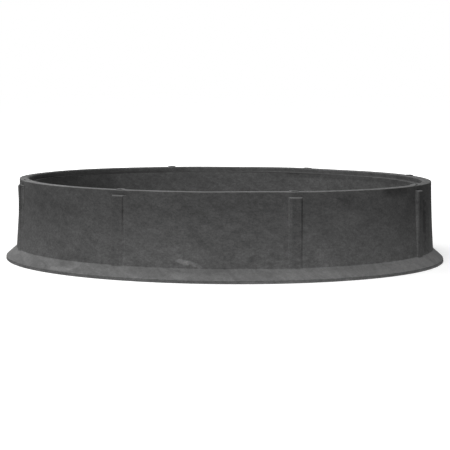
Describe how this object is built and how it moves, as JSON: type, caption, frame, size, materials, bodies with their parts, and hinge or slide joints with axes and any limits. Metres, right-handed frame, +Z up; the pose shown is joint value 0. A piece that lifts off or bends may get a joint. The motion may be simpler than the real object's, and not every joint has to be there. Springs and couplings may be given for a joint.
{
  "type": "well ring",
  "caption": "Sand-filled plastic well ring with a sloped base flange, upright outer ribs and a lugged tongue above an inner ledge, stacked with others to line a well or manhole shaft.",
  "frame": {"origin": "centre of the base, on the floor the flange stands on", "axes": "+Z up along the ring's axis; a rib stands on each of the X and Y axes"},
  "size_m": [1.171, 1.171, 0.2152],
  "materials": {
    "sand_polymer": "as moulded, dark grey, matt, with flow streaks, specks of sand and pale dust on the flange"
  },
  "bodies": {
    "root": {"well_ring": "sand_polymer"}
  },
  "joints": []
}
